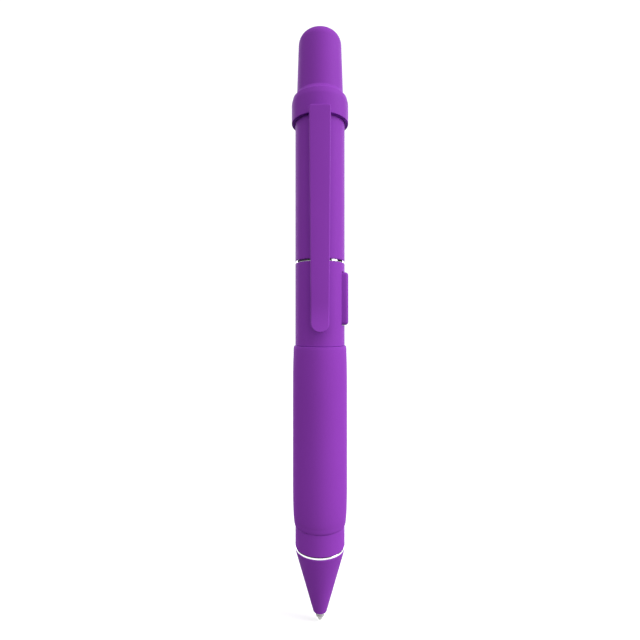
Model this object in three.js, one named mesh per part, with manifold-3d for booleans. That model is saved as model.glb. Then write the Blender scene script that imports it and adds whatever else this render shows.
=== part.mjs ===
// Retractable ballpoint pen with a top plunger, a side release button, a pocket clip, a soft grip
// and a screw-off nose. Millimetres, +Z up along the pen's axis, origin at the writing point,
// clip towards -Y, button towards +X. At rest the plunger is pressed and the point is out.
import * as THREE from "three";
import { mergeVertices } from "three/addons/utils/BufferGeometryUtils.js";
import Module from "manifold-3d";

const wasm = await Module();
wasm.setup();

// ---- Driving dimensions ----

// Overall
const BARREL_R = 6.0;
const POINT_REACH = 2.33; // how far the writing point stands out of the nose
const NOSE_LENGTH = 15.57; // nose cone, from its open end to its shoulder
const LOWER_LENGTH = 68.5; // lower barrel
const UPPER_LENGTH = 35.75; // upper barrel
const CAP_HEIGHT = 14.9; // plunger cap above the collar when it is pressed
const TRAVEL = 4.0; // plunger travel between point out and point in

// Walls and bores
const LOWER_WALL = 1.4;
const UPPER_WALL = 1.0;
const HOUSING_WALL = 0.8;
const ROD_ROOM = 2.1; // room round the rod for the housing, the button and the catch
const FIT_GAP = 0.05; // fixed fits
const RUN_GAP = 0.1; // sliding and turning fits
const SHOULDER = 0.3; // inner steps that pressed-in pieces rest against
const EDGE = 0.2; // chamfers on the barrels' ends

// Rings
const NOSE_RING_THICKNESS = 0.5;
const CENTRE_RING_THICKNESS = 0.45;
const CENTRE_RING_DEPTH = 0.15; // how far the centre ring sits below the barrel's surface

// Nose
const NOSE_END_R = 1.62;
const NOSE_END_ROUND = 0.55;
const NECK_LENGTH = 6.1;
const NECK_WALL = 0.9;
const NOSE_BAND = 0.3; // straight band at the top of the cone
const NOSE_END_WALL = 1.3;
const NOSE_LAND = 0.15; // flat land beside the end's round edge
const NOSE_BORE_GAP = 0.175; // round the refill
const NOSE_THROAT = 8.0; // below the shoulder, where the bore starts to widen
const THREAD_RELIEF = 0.5; // bore beyond the neck's end

// Grip sleeve
const GRIP_START = 5.1; // above the lower barrel's bottom end
const GRIP_SEAT_DEPTH = 0.55;
const GRIP_BULGE = 0.6; // how far the sleeve stands proud at its fattest
const GRIP_STEP = 0.36; // how far it stands proud at its top end
const GRIP_LIP_STEP = 0.33; // how far it stands proud above its bottom lip
const GRIP_LIP = 1.4; // height of the rounded bottom lip
const GRIP_TOP_EDGE = 0.3;
const BUTTON_TO_GRIP = 5.0;

// Side button
const BUTTON_LENGTH = 12.65;
const BUTTON_DROP = 2.25; // below the lower barrel's top end
const BUTTON_HALF_WIDTH = 3.0;
const BUTTON_PROUD = 0.82; // its travel, and a little
const BUTTON_ROUND = 0.7;
const BUTTON_LIP = 0.6; // how far the flange reaches past the window on each side
const BUTTON_OVERLAP = 0.8; // how far it reaches past the window at each end
const BUTTON_FLANGE = 0.65;
const BUTTON_CROWN = 0.1;
const BUTTON_FACE_EDGE = 0.9; // slope between the outer face's flat and its round edges

// Clip
const CLIP_LENGTH = 51.3;
const CLIP_OVER_COLLAR = 0.9;
const CLIP_GAP = 1.4; // between the barrel and the clip
const CLIP_THICKNESS = 1.2;
const CLIP_TOP_HALF_WIDTH = 2.47;
const CLIP_END_R = 2.07;
const CLIP_CORNER = 0.6;
const CLIP_FLARE = 1.2; // how far the lower end curves away from the barrel
const CLIP_FLARE_LENGTH = 6.4;
const CLIP_BUMP = 0.9; // height of the bump that holds the pocket's edge
const BUMP_HALF_LENGTH = 1.6;
const FOOT_HEIGHT = 3.8;
const FOOT_HALF_WIDTH = 1.7;
const FOOT_BELOW_COLLAR = 0.2;
const RIVET_R = 0.8;
const RIVET_HEAD_R = 1.3;
const RIVET_PLAY = 0.15;
const RIVET_HEAD_HEIGHT = 0.3;

// Collar and plunger cap
const COLLAR_STEP = 0.88; // how far the collar stands proud of the barrel
const COLLAR_SKIRT = 2.4; // how far it reaches down over the barrel
const CAP_STEP = 0.39; // how far the cap is inside the barrel's radius
const CAP_TAPER = 0.41;
const CAP_ROUND = 3.0;
const CAP_WALL = 0.9;
const CAP_HIDDEN = 0.5; // how much of the cap stays inside the collar when it is up
const CAP_STOP_GAP = 0.3;
const CAP_PLAY = 0.09; // round the cap in the collar's mouth
const BOSS_INSET = 0.8; // the cap's inner boss starts this far above its rim
const BOSS_WALL = 1.0;
const BOSS_SOCKET = 7.8; // how deep the thrust tube sits in the boss
const SHOULDER_HEIGHT = 2.64; // the collar's tapered shoulder
const SHOULDER_IN = 0.3;
const SHOULDER_ROUND = 0.3;
const SHOULDER_DROP = 1.36; // from the collar's top to the centre of that rounding
const SHOULDER_LEAN = 12; // degrees off the axis
const SWEEP_RADIUS = 2.2; // the hollow sweep from the shoulder up to the cap
const SWEEP_ABOVE = 0.63; // from the collar's top to the sweep's centre
const SWEEP_LEAN = 52; // degrees off the axis where it leaves the shoulder
const SWEEP_END = 20;

// Refill: the standard short metal refill
const REFILL_LENGTH = 67.0;
const REFILL_R = 1.175;
const REFILL_WALL = 0.3;
const TIP_SHANK_R = 1.0;
const TIP_SHANK_LENGTH = 9.5;
const TIP_CONE_HEIGHT = 1.25;
const TIP_SPIGOT_HEIGHT = 3.0; // of the point's stem, inside the tube
const TIP_BORE_R = 0.5;
const INK_HOLE_R = 0.12;
const LIP_WALL = 0.015;
const TUBE_ABOVE_SHANK = 2.5;
const BALL_R = 0.25;
const BALL_GAP = 0.015;
const INK_HEADROOM = 8.7; // empty tube above the ink

// Rod, catch and springs
const SOCKET_DEPTH = 7.0; // how deep the refill sits in the rod
const SOCKET_GAP = 0.075;
const ROD_ABOVE_BUTTON = 1.8;
const SPIGOT_HEIGHT = 6.0; // of the rod, inside the thrust tube
const HOUSING_BELOW_BUTTON = 4.1;
const HOUSING_SPIGOT = 6.5; // how far the housing reaches into the upper barrel
const ROD_GUIDE_HEIGHT = 2.5;
const TUBE_WALL = 0.8;
const HOOK_ABOVE = 4.5; // hook above the button's lower end
const HOOK_DEPTH = 0.6;
const HOOK_HEIGHT = 0.8;
const LEAF_THICKNESS = 0.25;
const LEAF_GAP = 0.15;
const LEAF_HALF_WIDTH = 1.2;
const LEAF_ANCHOR = 1.0; // the strip's foot, above the housing's lower end
const BAND_HEIGHT = 2.0;
const BAND_PLAY = 0.1;
const TAB_INSET = 0.2; // the band's tabs stay this far inside the button's sides
const SPRING_LENGTH = 20.0;
const SPRING_WIRE_R = 0.22;
const SPRING_TURNS = 10;
const END_TURN_EASE = 0.35;
const SEAT_HEIGHT = 2.0;
const GUIDE_HEIGHT = 5.0;
const GUIDE_BELOW_COLLAR = 5.9;
const SNAP_THICKNESS = 0.5;
const SNAP_GROOVE = 0.3;
const SNAP_REACH = 1.0;

// Facets
const OUTER_SEGMENTS = 40;
const INNER_SEGMENTS = 28;
const FINE_SEGMENTS = 16;
const STEPS_PER_TURN = 14;

// ---- Heights and radii that follow from them ----

const NOSE_TOP = POINT_REACH + NOSE_LENGTH;
const LOWER_BOTTOM = NOSE_TOP + NOSE_RING_THICKNESS + 2 * FIT_GAP;
const LOWER_TOP = LOWER_BOTTOM + LOWER_LENGTH;
const UPPER_BOTTOM = LOWER_TOP + CENTRE_RING_THICKNESS + 2 * FIT_GAP;
const UPPER_TOP = UPPER_BOTTOM + UPPER_LENGTH;
const COLLAR_BOTTOM = UPPER_TOP - COLLAR_SKIRT;
const CAP_BOTTOM = UPPER_TOP + CAP_STOP_GAP;
const COLLAR_TOP = CAP_BOTTOM + TRAVEL + CAP_HIDDEN;
const CAP_TOP = COLLAR_TOP + CAP_HEIGHT;

const LOWER_BORE_R = BARREL_R - LOWER_WALL;
const UPPER_BORE_R = BARREL_R - UPPER_WALL;
const GUIDE_SHOULDER_R = UPPER_BORE_R - SHOULDER;
const COLLAR_R = BARREL_R + COLLAR_STEP;
const CAP_R = BARREL_R - CAP_STEP;
const ROD_R = LOWER_BORE_R - ROD_ROOM;
const HOUSING_R = LOWER_BORE_R - FIT_GAP;
const HOUSING_BORE_R = HOUSING_R - HOUSING_WALL;
const ROD_GUIDE_R = ROD_R + RUN_GAP;
const REFILL_SOCKET_R = REFILL_R + SOCKET_GAP;

const BUTTON_TOP = LOWER_TOP - BUTTON_DROP;
const BUTTON_BOTTOM = BUTTON_TOP - BUTTON_LENGTH;
const GRIP_BOTTOM = LOWER_BOTTOM + GRIP_START;
const GRIP_TOP = BUTTON_BOTTOM - BUTTON_TO_GRIP;
const SEAT_R = BARREL_R - GRIP_SEAT_DEPTH;

const HOUSING_BOTTOM = BUTTON_BOTTOM - HOUSING_BELOW_BUTTON;
const HOUSING_TOP = UPPER_BOTTOM + HOUSING_SPIGOT;
const HOOK_BOTTOM = BUTTON_BOTTOM + HOOK_ABOVE;
const HOOK_TOP = HOOK_BOTTOM + HOOK_HEIGHT;

const SOCKET_FLOOR = REFILL_LENGTH + FIT_GAP;
// The rod passes the housing's guide and holds the refill's end.
const ROD_BOTTOM = Math.min(SOCKET_FLOOR, HOUSING_BOTTOM) - SOCKET_DEPTH;
const ROD_TOP = BUTTON_TOP + ROD_ABOVE_BUTTON;
const SPIGOT_R = ROD_R - TUBE_WALL - FIT_GAP;
const SPRING_SEAT_TOP = ROD_BOTTOM - FIT_GAP - SPRING_LENGTH;
const SPRING_SEAT_BOTTOM = SPRING_SEAT_TOP - SEAT_HEIGHT;

const GUIDE_TOP = COLLAR_BOTTOM - GUIDE_BELOW_COLLAR;
const GUIDE_BOTTOM = GUIDE_TOP - GUIDE_HEIGHT;
const SNAP_TOP = GUIDE_BOTTOM - TRAVEL - RUN_GAP;
const SNAP_GROOVE_R = ROD_R - SNAP_GROOVE;
const REFILL_TUBE_BOTTOM = TIP_SHANK_LENGTH + TUBE_ABOVE_SHANK;
const BOSS_BOTTOM = CAP_BOTTOM + BOSS_INSET;
const TUBE_TOP = BOSS_BOTTOM + BOSS_SOCKET;
const TUBE_BORE_R = ROD_R - TUBE_WALL;

const CLIP_BACK = -(BARREL_R + CLIP_GAP);
const CLIP_FRONT = CLIP_BACK - CLIP_THICKNESS;
const CLIP_TOP = COLLAR_BOTTOM + CLIP_OVER_COLLAR;
const CLIP_BOTTOM = CLIP_TOP - CLIP_LENGTH;
const FOOT_TOP = COLLAR_BOTTOM - FOOT_BELOW_COLLAR;
const FOOT_BOTTOM = FOOT_TOP - FOOT_HEIGHT;
const RIVET_Z = (FOOT_TOP + FOOT_BOTTOM) / 2;
const RIVET_HOLE_R = RIVET_R + RIVET_PLAY;

// ---- Colours ----

const PURPLE = 0x8f3eb4;
const GRIP_PURPLE = 0x8c3cb1;
const CHROME = 0xe8e8ec;
const STEEL = 0xb9bcc2;
const BRASS = 0xc9a24d;
const INK = 0x1b2250;
const DARK_PLASTIC = 0x2c2a31;

// ---- Shape helpers ----

// A profile is a list of [radius, height], up the outside and down the inside, in the XZ half-plane.
function lathe(profile, segments) {
  const points = profile.map(([r, z]) => new THREE.Vector2(r, z));
  return new THREE.LatheGeometry(points, segments).rotateX(Math.PI / 2);
}

function ring(profile, segments) {
  return lathe([...profile, profile[0]], segments);
}

function tube(innerR, outerR, bottom, top, segments) {
  const profile = [
    [innerR, bottom],
    [outerR, bottom],
    [outerR, top],
    [innerR, top],
  ];
  return ring(profile, segments);
}

function rod(radius, bottom, top, segments) {
  const profile = [
    [0, bottom],
    [radius, bottom],
    [radius, top],
    [0, top],
  ];
  return lathe(profile, segments);
}

function box([x0, x1], [y0, y1], [z0, z1]) {
  const made = new THREE.BoxGeometry(x1 - x0, y1 - y0, z1 - z0);
  return made.translate((x0 + x1) / 2, (y0 + y1) / 2, (z0 + z1) / 2);
}

// Points on an arc of an ellipse, angles in degrees.
function arc(cx, cy, rx, ry, from, to, steps) {
  return Array.from({ length: steps + 1 }, (_, i) => {
    const a = THREE.MathUtils.degToRad(from + ((to - from) * i) / steps);
    return [cx + rx * Math.cos(a), cy + ry * Math.sin(a)];
  });
}

function shapeOf(points) {
  return new THREE.Shape(points.map(([x, y]) => new THREE.Vector2(x, y)));
}

// The outline of a ring with a gap of twice the given angle, centred on +X.
function openRing(inner, outer, gapAngle, steps) {
  const outside = arc(0, 0, outer, outer, gapAngle, 360 - gapAngle, steps);
  return [...outside, ...arc(0, 0, inner, inner, 360 - gapAngle, gapAngle, steps)];
}

function prism(points, depth) {
  const settings = { depth, bevelEnabled: false, curveSegments: 12 };
  return new THREE.ExtrudeGeometry(shapeOf(points), settings);
}

// An outline in XY, from one height to another.
function prismZ(points, bottom, top) {
  return prism(points, top - bottom).translate(0, 0, bottom);
}

// An outline in XZ, from one y to another.
function prismY(points, from, to) {
  return prism(points, to - from).rotateX(Math.PI / 2).translate(0, to, 0);
}

// An outline in YZ, from x = -halfWidth to halfWidth.
function prismX(points, halfWidth) {
  const turn = new THREE.Matrix4().makeBasis(
    new THREE.Vector3(0, 1, 0),
    new THREE.Vector3(0, 0, 1),
    new THREE.Vector3(1, 0, 0),
  );
  const made = prism(points, 2 * halfWidth).applyMatrix4(turn);
  return made.translate(-halfWidth, 0, 0);
}

// ---- Joining and cutting ----

function solid(geometry) {
  const bare = new THREE.BufferGeometry();
  const flat = geometry.index ? geometry.toNonIndexed() : geometry;
  bare.setAttribute("position", flat.getAttribute("position"));
  const merged = mergeVertices(bare, 1e-4);
  const mesh = new wasm.Mesh({
    numProp: 3,
    vertProperties: merged.attributes.position.array,
    triVerts: new Uint32Array(merged.index.array),
  });
  return new wasm.Manifold(mesh);
}

function geometryOf(made) {
  const mesh = made.getMesh();
  const geometry = new THREE.BufferGeometry();
  geometry.setAttribute("position", new THREE.BufferAttribute(mesh.vertProperties, 3));
  geometry.setIndex(new THREE.BufferAttribute(mesh.triVerts, 1));
  geometry.computeVertexNormals();
  return geometry;
}

function cut(geometry, ...tools) {
  return geometryOf(tools.reduce((made, tool) => made.subtract(solid(tool)), solid(geometry)));
}

function join(first, ...others) {
  return geometryOf(others.reduce((made, other) => made.add(solid(other)), solid(first)));
}

function common(first, second) {
  return geometryOf(solid(first).intersect(solid(second)));
}

// ---- The assembly ----

const pen = new THREE.Group();

function add(name, geometry, color, roughness, metalness) {
  const material = new THREE.MeshStandardMaterial({ color, roughness, metalness });
  const mesh = new THREE.Mesh(geometry, material);
  mesh.name = name;
  pen.add(mesh);
}

// ---- Lower barrel and what is fixed in it ----

function buttonWindow() {
  const half = BUTTON_HALF_WIDTH + FIT_GAP;
  return box([0, 2 * BARREL_R], [-half, half], [BUTTON_BOTTOM - FIT_GAP, BUTTON_TOP + FIT_GAP]);
}

function lowerBarrel() {
  const threadTop = NOSE_TOP + NECK_LENGTH + THREAD_RELIEF;
  const waistR = LOWER_BORE_R - SHOULDER;
  const profile = [
    [LOWER_BORE_R, LOWER_BOTTOM],
    [BARREL_R - EDGE / 2, LOWER_BOTTOM],
    [BARREL_R, LOWER_BOTTOM + EDGE / 2],
    [BARREL_R, GRIP_BOTTOM],
    [SEAT_R, GRIP_BOTTOM],
    [SEAT_R, GRIP_TOP],
    [BARREL_R, GRIP_TOP],
    [BARREL_R, LOWER_TOP - EDGE],
    [BARREL_R - EDGE, LOWER_TOP],
    [LOWER_BORE_R, LOWER_TOP],
    [LOWER_BORE_R, SPRING_SEAT_BOTTOM - FIT_GAP],
    [waistR, SPRING_SEAT_BOTTOM - FIT_GAP],
    [waistR, threadTop],
    [LOWER_BORE_R, threadTop],
  ];
  return cut(ring(profile, OUTER_SEGMENTS), buttonWindow());
}

function gripSleeve() {
  const bottom = GRIP_BOTTOM + FIT_GAP;
  const top = GRIP_TOP - FIT_GAP;
  const swell = (top - bottom) / 5;
  const fatR = BARREL_R + GRIP_BULGE;
  const stepR = BARREL_R + GRIP_STEP;
  const lipR = BARREL_R + GRIP_LIP_STEP;
  const profile = [
    [SEAT_R + FIT_GAP, bottom],
    ...arc(BARREL_R, bottom + GRIP_LIP, GRIP_LIP_STEP, GRIP_LIP, -85, -20, 2),
    ...arc(lipR, bottom + GRIP_LIP + swell, fatR - lipR, swell, -90, 0, 4),
    ...arc(stepR, top - GRIP_TOP_EDGE - swell, fatR - stepR, swell, 0, 90, 4),
    [stepR - GRIP_TOP_EDGE / 2, top],
    [SEAT_R + FIT_GAP, top],
  ];
  return ring(profile, OUTER_SEGMENTS);
}

function springSeat() {
  const outer = LOWER_BORE_R - FIT_GAP;
  return tube(REFILL_R + RUN_GAP, outer, SPRING_SEAT_BOTTOM, SPRING_SEAT_TOP, INNER_SEGMENTS);
}

class Helix extends THREE.Curve {
  constructor(radius, bottom, top, turns) {
    super();
    Object.assign(this, { radius, bottom, top, turns });
  }

  // The end turns lie closer together, so the height is partly a smooth step.
  getPoint(t, target = new THREE.Vector3()) {
    const angle = 2 * Math.PI * this.turns * t;
    const eased = THREE.MathUtils.lerp(t, THREE.MathUtils.smoothstep(t, 0, 1), END_TURN_EASE);
    const z = THREE.MathUtils.lerp(this.bottom, this.top, eased);
    return target.set(this.radius * Math.cos(angle), this.radius * Math.sin(angle), z);
  }
}

function returnSpring() {
  const clear = SPRING_WIRE_R + FIT_GAP;
  const radius = ROD_R - SPRING_WIRE_R - SHOULDER;
  const path = new Helix(radius, SPRING_SEAT_TOP + clear, ROD_BOTTOM - clear, SPRING_TURNS);
  const wire = new THREE.Shape().absarc(0, 0, SPRING_WIRE_R, 0, 2 * Math.PI);
  const steps = SPRING_TURNS * STEPS_PER_TURN;
  return new THREE.ExtrudeGeometry(wire, { steps, curveSegments: 3, extrudePath: path });
}

// ---- Mechanism housing, catch and rings ----

function mechanismHousing() {
  const guideTop = HOUSING_BOTTOM + ROD_GUIDE_HEIGHT;
  const spigotR = UPPER_BORE_R - FIT_GAP;
  const profile = [
    [ROD_GUIDE_R, HOUSING_BOTTOM],
    [HOUSING_R, HOUSING_BOTTOM],
    [HOUSING_R, LOWER_TOP + FIT_GAP],
    [spigotR, LOWER_TOP + FIT_GAP],
    [spigotR, HOUSING_TOP - EDGE],
    [spigotR - EDGE, HOUSING_TOP],
    [HOUSING_BORE_R, HOUSING_TOP],
    [HOUSING_BORE_R, guideTop],
    [ROD_GUIDE_R, guideTop],
  ];
  const half = HOUSING_BORE_R;
  const reach = BUTTON_OVERLAP + SHOULDER;
  const window = box([0, 2 * BARREL_R], [-half, half], [BUTTON_BOTTOM - reach, BUTTON_TOP + reach]);
  const slotHalf = LEAF_HALF_WIDTH + RUN_GAP;
  const leafSlot = box(
    [-(ROD_R + LEAF_GAP + LEAF_THICKNESS + RUN_GAP), -ROD_R],
    [-slotHalf, slotHalf],
    [HOUSING_BOTTOM + LEAF_ANCHOR - SHOULDER, guideTop + 1],
  );
  return cut(ring(profile, INNER_SEGMENTS), window, leafSlot);
}

// A strip behind the rod, a hook at its top end and an open band round the rod that the button pushes.
function catchSpring() {
  const inner = ROD_R + LEAF_GAP;
  const outer = inner + LEAF_THICKNESS;
  const bandLevels = [HOOK_TOP - HOOK_HEIGHT / 2, HOOK_TOP - HOOK_HEIGHT / 2 + BAND_HEIGHT];
  const half = LEAF_HALF_WIDTH;
  const hookHalf = (3 * half) / 4;
  const strip = box([-outer, -inner], [-half, half], [HOUSING_BOTTOM + LEAF_ANCHOR, bandLevels[1]]);
  const hook = box(
    [-inner - FIT_GAP, -(ROD_R - HOOK_DEPTH)],
    [-hookHalf, hookHalf],
    [HOOK_BOTTOM, HOOK_TOP],
  );
  const tabReach = HOUSING_BORE_R - LEAF_GAP;
  const tabTurn = Math.asin((BUTTON_HALF_WIDTH - TAB_INSET) / tabReach);
  const gapAngle = THREE.MathUtils.radToDeg(tabTurn) - 2;
  const band = prismZ(openRing(inner + BAND_PLAY, outer + BAND_PLAY, gapAngle, 22), ...bandLevels);
  const tab = (side) => {
    const thick = [-LEAF_THICKNESS / 2, LEAF_THICKNESS / 2];
    return box([inner + LEAF_GAP, tabReach], thick, bandLevels).rotateZ(side * tabTurn);
  };
  return join(band, strip, hook, tab(1), tab(-1));
}

function centreRing() {
  const inner = UPPER_BORE_R;
  const outer = BARREL_R - CENTRE_RING_DEPTH;
  const bottom = LOWER_TOP + FIT_GAP;
  return tube(inner, outer, bottom, bottom + CENTRE_RING_THICKNESS, OUTER_SEGMENTS);
}

// ---- Upper barrel, guide and collar ----

function upperBarrel() {
  const profile = [
    [UPPER_BORE_R, UPPER_BOTTOM],
    [BARREL_R - EDGE, UPPER_BOTTOM],
    [BARREL_R, UPPER_BOTTOM + EDGE],
    [BARREL_R, UPPER_TOP],
    [GUIDE_SHOULDER_R, UPPER_TOP],
    [GUIDE_SHOULDER_R, GUIDE_TOP + FIT_GAP],
    [UPPER_BORE_R, GUIDE_TOP + FIT_GAP],
  ];
  const hole = rod(RIVET_HOLE_R, 0, 2 * BARREL_R, FINE_SEGMENTS).rotateX(Math.PI / 2);
  return cut(ring(profile, OUTER_SEGMENTS), hole.translate(0, 0, RIVET_Z));
}

function plungerGuide() {
  const outer = UPPER_BORE_R - FIT_GAP;
  return tube(ROD_GUIDE_R, outer, GUIDE_BOTTOM, GUIDE_TOP, INNER_SEGMENTS);
}

// A straight skirt, a tapered shoulder and a hollow sweep in to the mouth, where the cap slides.
function collar() {
  const mouthR = CAP_R + CAP_PLAY;
  const seatR = BARREL_R + FIT_GAP;
  const roundR = COLLAR_R - SHOULDER_IN - SHOULDER_ROUND;
  const roundZ = COLLAR_TOP - SHOULDER_DROP;
  const sweepR = CAP_R + SWEEP_RADIUS;
  const sweepZ = COLLAR_TOP + SWEEP_ABOVE;
  const profile = [
    [seatR, COLLAR_BOTTOM],
    [COLLAR_R - FIT_GAP, COLLAR_BOTTOM],
    [COLLAR_R, COLLAR_BOTTOM + FIT_GAP],
    [COLLAR_R, COLLAR_TOP - SHOULDER_HEIGHT],
    ...arc(roundR, roundZ, SHOULDER_ROUND, SHOULDER_ROUND, SHOULDER_LEAN, SWEEP_LEAN, 3),
    ...arc(sweepR, sweepZ, -SWEEP_RADIUS, -SWEEP_RADIUS, SWEEP_LEAN, SWEEP_END, 3),
    [mouthR, COLLAR_TOP],
    [mouthR, UPPER_TOP + FIT_GAP],
    [seatR, UPPER_TOP + FIT_GAP],
  ];
  return ring(profile, OUTER_SEGMENTS);
}

// ---- Plunger: cap, tube, rod and snap ring ----

function plungerCap() {
  const topR = CAP_R - CAP_TAPER;
  const roundZ = CAP_TOP - CAP_ROUND;
  const boreR = CAP_R - CAP_WALL;
  const cavityTop = roundZ - CAP_WALL;
  const bossR = ROD_R + BOSS_WALL;
  const holeR = ROD_R + FIT_GAP;
  const profile = [
    [0, TUBE_TOP + FIT_GAP],
    [holeR, TUBE_TOP + FIT_GAP],
    [holeR, BOSS_BOTTOM],
    [bossR, BOSS_BOTTOM],
    [bossR, cavityTop],
    [topR - CAP_WALL, cavityTop],
    [boreR, COLLAR_TOP],
    [boreR, CAP_BOTTOM],
    [CAP_R - EDGE, CAP_BOTTOM],
    [CAP_R, CAP_BOTTOM + EDGE],
    [CAP_R, COLLAR_TOP],
    ...arc(topR - CAP_ROUND, roundZ, CAP_ROUND, CAP_ROUND, 0, 90, 7),
    [0, CAP_TOP],
  ];
  return lathe(profile, OUTER_SEGMENTS);
}

function thrustTube() {
  const bottom = ROD_TOP + FIT_GAP;
  const grooveBottom = SNAP_TOP - SNAP_THICKNESS - FIT_GAP;
  const profile = [
    [TUBE_BORE_R, bottom],
    [ROD_R, bottom],
    [ROD_R, grooveBottom],
    [SNAP_GROOVE_R, grooveBottom],
    [SNAP_GROOVE_R, SNAP_TOP + FIT_GAP],
    [ROD_R, SNAP_TOP + FIT_GAP],
    [ROD_R, TUBE_TOP],
    [TUBE_BORE_R, TUBE_TOP],
  ];
  return ring(profile, INNER_SEGMENTS);
}

function catchRod() {
  const profile = [
    [0, SOCKET_FLOOR],
    [REFILL_SOCKET_R, SOCKET_FLOOR],
    [REFILL_SOCKET_R, ROD_BOTTOM],
    [ROD_R, ROD_BOTTOM],
    [ROD_R, ROD_TOP],
    [SPIGOT_R, ROD_TOP],
    [SPIGOT_R, ROD_TOP + SPIGOT_HEIGHT],
    [0, ROD_TOP + SPIGOT_HEIGHT],
  ];
  const notch = box(
    [-2 * ROD_R, -(ROD_R - HOOK_DEPTH - FIT_GAP)],
    [-2 * ROD_R, 2 * ROD_R],
    [HOOK_BOTTOM - FIT_GAP, HOOK_TOP + FIT_GAP],
  );
  return cut(lathe(profile, INNER_SEGMENTS), notch);
}

function retainingRing() {
  const outline = openRing(SNAP_GROOVE_R + FIT_GAP, ROD_R + SNAP_REACH, 35, 20);
  return prismZ(outline, SNAP_TOP - SNAP_THICKNESS, SNAP_TOP);
}

// ---- Refill ----

function refillTube() {
  return tube(REFILL_R - REFILL_WALL, REFILL_R, REFILL_TUBE_BOTTOM, REFILL_LENGTH, INNER_SEGMENTS);
}

function refillTip() {
  const lipZ = 0.6 * BALL_R;
  const cupR = BALL_R + BALL_GAP;
  const cupTop = 2 * BALL_R + BALL_GAP;
  const stepZ = REFILL_TUBE_BOTTOM - FIT_GAP;
  const spigotR = REFILL_R - REFILL_WALL - FIT_GAP / 2;
  const spigotTop = stepZ + TIP_SPIGOT_HEIGHT;
  const profile = [
    [BALL_R - LIP_WALL, lipZ],
    [BALL_R + LIP_WALL, lipZ],
    [TIP_SHANK_R - FIT_GAP, TIP_CONE_HEIGHT],
    [TIP_SHANK_R, TIP_CONE_HEIGHT + FIT_GAP],
    [TIP_SHANK_R, TIP_SHANK_LENGTH],
    [REFILL_R, TIP_SHANK_LENGTH + EDGE],
    [REFILL_R, stepZ],
    [spigotR, stepZ],
    [spigotR, spigotTop],
    [TIP_BORE_R, spigotTop],
    [TIP_BORE_R, TIP_CONE_HEIGHT],
    [INK_HOLE_R, TIP_CONE_HEIGHT - EDGE],
    [INK_HOLE_R, cupTop],
    [cupR, cupTop],
    [cupR, BALL_R],
  ];
  return ring(profile, FINE_SEGMENTS);
}

function writingBall() {
  return new THREE.SphereGeometry(BALL_R, FINE_SEGMENTS, 12).translate(0, 0, BALL_R);
}

function inkColumn() {
  const bottom = REFILL_TUBE_BOTTOM + TIP_SPIGOT_HEIGHT + SHOULDER;
  const radius = REFILL_R - REFILL_WALL - FIT_GAP / 2;
  return rod(radius, bottom, REFILL_LENGTH - INK_HEADROOM, FINE_SEGMENTS);
}

// ---- Nose ----

function noseCone() {
  const holeR = TIP_SHANK_R + RUN_GAP;
  const boreR = REFILL_R + NOSE_BORE_GAP;
  const neckR = LOWER_BORE_R - RUN_GAP;
  const neckTop = NOSE_TOP + NECK_LENGTH;
  const innerR = neckR - NECK_WALL;
  const landR = NOSE_END_R - NOSE_END_ROUND + NOSE_LAND;
  const endWall = POINT_REACH + NOSE_END_WALL;
  const profile = [
    [holeR, POINT_REACH],
    [landR, POINT_REACH],
    ...arc(landR, POINT_REACH + NOSE_END_ROUND, NOSE_END_R - landR, NOSE_END_ROUND, -60, 0, 2),
    [BARREL_R, NOSE_TOP - NOSE_BAND],
    [BARREL_R, NOSE_TOP],
    [neckR, NOSE_TOP],
    [neckR, neckTop - 2 * EDGE],
    [neckR - 2 * EDGE, neckTop],
    [innerR, neckTop],
    [innerR, NOSE_TOP - NECK_WALL],
    [boreR, NOSE_TOP - NOSE_THROAT],
    [boreR, endWall + SHOULDER],
    [holeR, endWall],
  ];
  return ring(profile, OUTER_SEGMENTS);
}

function noseRing() {
  const bottom = NOSE_TOP + FIT_GAP;
  return tube(LOWER_BORE_R, BARREL_R, bottom, bottom + NOSE_RING_THICKNESS, OUTER_SEGMENTS);
}

// ---- Side button ----

// The outline is the cross-section: an arc inside the barrel and a rounded outer face.
function buttonOutline() {
  const inner = LOWER_BORE_R - BUTTON_FLANGE / 2;
  const outer = BARREL_R + BUTTON_PROUD;
  const half = BUTTON_HALF_WIDTH;
  const innerX = Math.sqrt(inner ** 2 - half ** 2);
  const corner = outer - BUTTON_CROWN - BUTTON_ROUND;
  const flatHalf = half - BUTTON_ROUND - BUTTON_FACE_EDGE;
  return [
    [innerX, -half],
    ...arc(corner, -half + BUTTON_ROUND, BUTTON_ROUND, BUTTON_ROUND, -90, -10, 4),
    [outer, -flatHalf],
    [outer, flatHalf],
    ...arc(corner, half - BUTTON_ROUND, BUTTON_ROUND, BUTTON_ROUND, 10, 90, 4),
    [innerX, half],
    [inner, 0],
  ];
}

function sideButton() {
  const reach = BUTTON_HALF_WIDTH + BUTTON_LIP;
  const outer = LOWER_BORE_R - RUN_GAP;
  const inner = outer - BUTTON_FLANGE;
  const outerTurn = THREE.MathUtils.radToDeg(Math.asin(reach / outer));
  const innerTurn = THREE.MathUtils.radToDeg(Math.asin(reach / inner));
  const outside = arc(0, 0, outer, outer, -outerTurn, outerTurn, 10);
  const flange = [...outside, ...arc(0, 0, inner, inner, innerTurn, -innerTurn, 10)];
  const body = prismZ(buttonOutline(), BUTTON_BOTTOM, BUTTON_TOP);
  const flangeLevels = [BUTTON_BOTTOM - BUTTON_OVERLAP, BUTTON_TOP + BUTTON_OVERLAP];
  return join(body, prismZ(flange, ...flangeLevels));
}

// ---- Clip and rivet ----

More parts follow.
